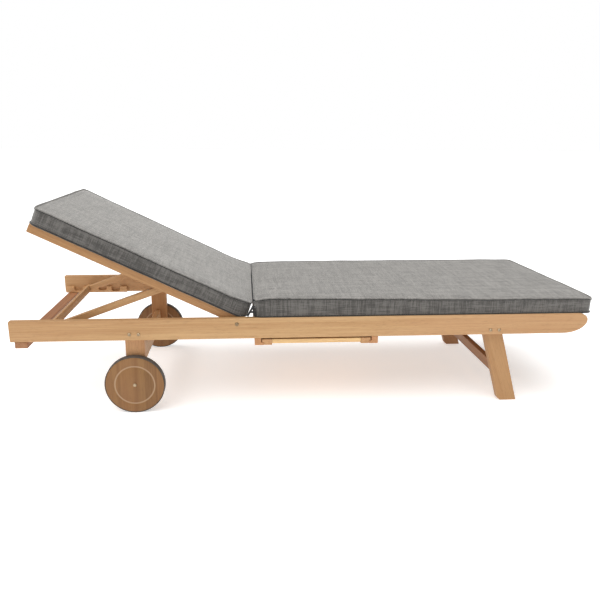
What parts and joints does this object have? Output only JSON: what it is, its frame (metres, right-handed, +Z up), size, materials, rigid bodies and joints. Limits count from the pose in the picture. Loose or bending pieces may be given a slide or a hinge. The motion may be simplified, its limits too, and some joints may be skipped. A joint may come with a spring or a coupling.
{
  "type": "sun lounger",
  "caption": "Wooden reclining sun lounger with boat-nosed side rails, wheels at the head end, a notched prop under the backrest, a pull-out tray and a cushion in two sections.",
  "frame": {"origin": "on the ground under the middle of the whole length and width", "axes": "+X from the head end to the foot end, +Y from the tray's open side to the other side, +Z up"},
  "size_m": [2.014, 0.7096, 0.7027],
  "materials": {
    "oiled_hardwood": "oiled, straight fine grain",
    "wheel_hardwood": "oiled, glued from vertical strips",
    "tyre_rubber": "matt dark rubber band",
    "bolt_steel": "zinc plated, domed heads",
    "cushion_fabric": "grey woven cover with piped seams"
  },
  "bodies": {
    "frame": {"side_rail_near": "oiled_hardwood", "wheel_leg_near": "oiled_hardwood", "foot_leg_near": "oiled_hardwood", "wheel_leg_bolt_near_1": "bolt_steel", "wheel_leg_bolt_near_2": "bolt_steel", "foot_leg_bolt_near_1": "bolt_steel", "foot_leg_bolt_near_2": "bolt_steel", "prop_rack_near": "oiled_hardwood", "wheel_axle_near": "bolt_steel", "seat_ledger_near": "oiled_hardwood", "backrest_pivot_bolt_near": "bolt_steel", "side_rail_far": "oiled_hardwood", "wheel_leg_far": "oiled_hardwood", "foot_leg_far": "oiled_hardwood", "wheel_leg_bolt_far_1": "bolt_steel", "wheel_leg_bolt_far_2": "bolt_steel", "foot_leg_bolt_far_1": "bolt_steel", "foot_leg_bolt_far_2": "bolt_steel", "prop_rack_far": "oiled_hardwood", "wheel_axle_far": "bolt_steel", "seat_ledger_far": "oiled_hardwood", "backrest_pivot_bolt_far": "bolt_steel", "head_crossbar": "oiled_hardwood", "axle_beam": "oiled_hardwood", "foot_crossbar": "oiled_hardwood", "foot_stretcher": "oiled_hardwood", "tray_runner_head": "oiled_hardwood", "tray_runner_foot": "oiled_hardwood", "seat_cushion": "cushion_fabric", "seat_slat_1": "oiled_hardwood", "seat_slat_2": "oiled_hardwood", "seat_slat_3": "oiled_hardwood", "seat_slat_4": "oiled_hardwood", "seat_slat_5": "oiled_hardwood", "seat_slat_6": "oiled_hardwood", "seat_slat_7": "oiled_hardwood", "seat_slat_8": "oiled_hardwood"},
    "backrest": {"backrest_rail_near": "oiled_hardwood", "backrest_rail_far": "oiled_hardwood", "prop_arm_bolt_near": "bolt_steel", "prop_arm_bolt_far": "bolt_steel", "backrest_slat_1": "oiled_hardwood", "backrest_slat_2": "oiled_hardwood", "backrest_slat_3": "oiled_hardwood", "backrest_slat_4": "oiled_hardwood", "backrest_slat_5": "oiled_hardwood", "backrest_slat_6": "oiled_hardwood", "back_cushion": "cushion_fabric"},
    "prop": {"prop_arm_near": "oiled_hardwood", "prop_arm_far": "oiled_hardwood", "prop_bar": "oiled_hardwood"},
    "tray": {"tray_side_head": "oiled_hardwood", "tray_side_foot": "oiled_hardwood", "tray_front": "oiled_hardwood", "tray_back": "oiled_hardwood", "tray_board": "oiled_hardwood"},
    "wheel_near": {"wheel_disc_near": "wheel_hardwood", "wheel_tyre_near": "tyre_rubber"},
    "wheel_far": {"wheel_disc_far": "wheel_hardwood", "wheel_tyre_far": "tyre_rubber"}
  },
  "joints": [
    {"name": "backrest_tilt", "type": "hinge", "parent": "frame", "child": "backrest", "pos_m": [-0.251, 0, 0.316], "axis": [0, 1, 0], "range_deg": [-25.9, 22.6]},
    {"name": "prop_swing", "type": "hinge", "parent": "backrest", "child": "prop", "pos_m": [-0.49789, 0, 0.43255], "axis": [0, 1, 0], "range_deg": [-36.5, 41.8]},
    {"name": "tray_slide", "type": "slide", "parent": "frame", "child": "tray", "axis": [0, -1, 0], "range_m": [0, 0.3]},
    {"name": "wheel_spin_near", "type": "hinge", "parent": "frame", "child": "wheel_near", "pos_m": [-0.6045, -0.338, 0.103], "axis": [0, 1, 0], "continuous": true},
    {"name": "wheel_spin_far", "type": "hinge", "parent": "frame", "child": "wheel_far", "pos_m": [-0.6045, 0.338, 0.103], "axis": [0, 1, 0], "continuous": true}
  ],
  "couplings": [
    {"joint": "prop_swing", "follows": "backrest_tilt", "ratio": -1.61}
  ]
}
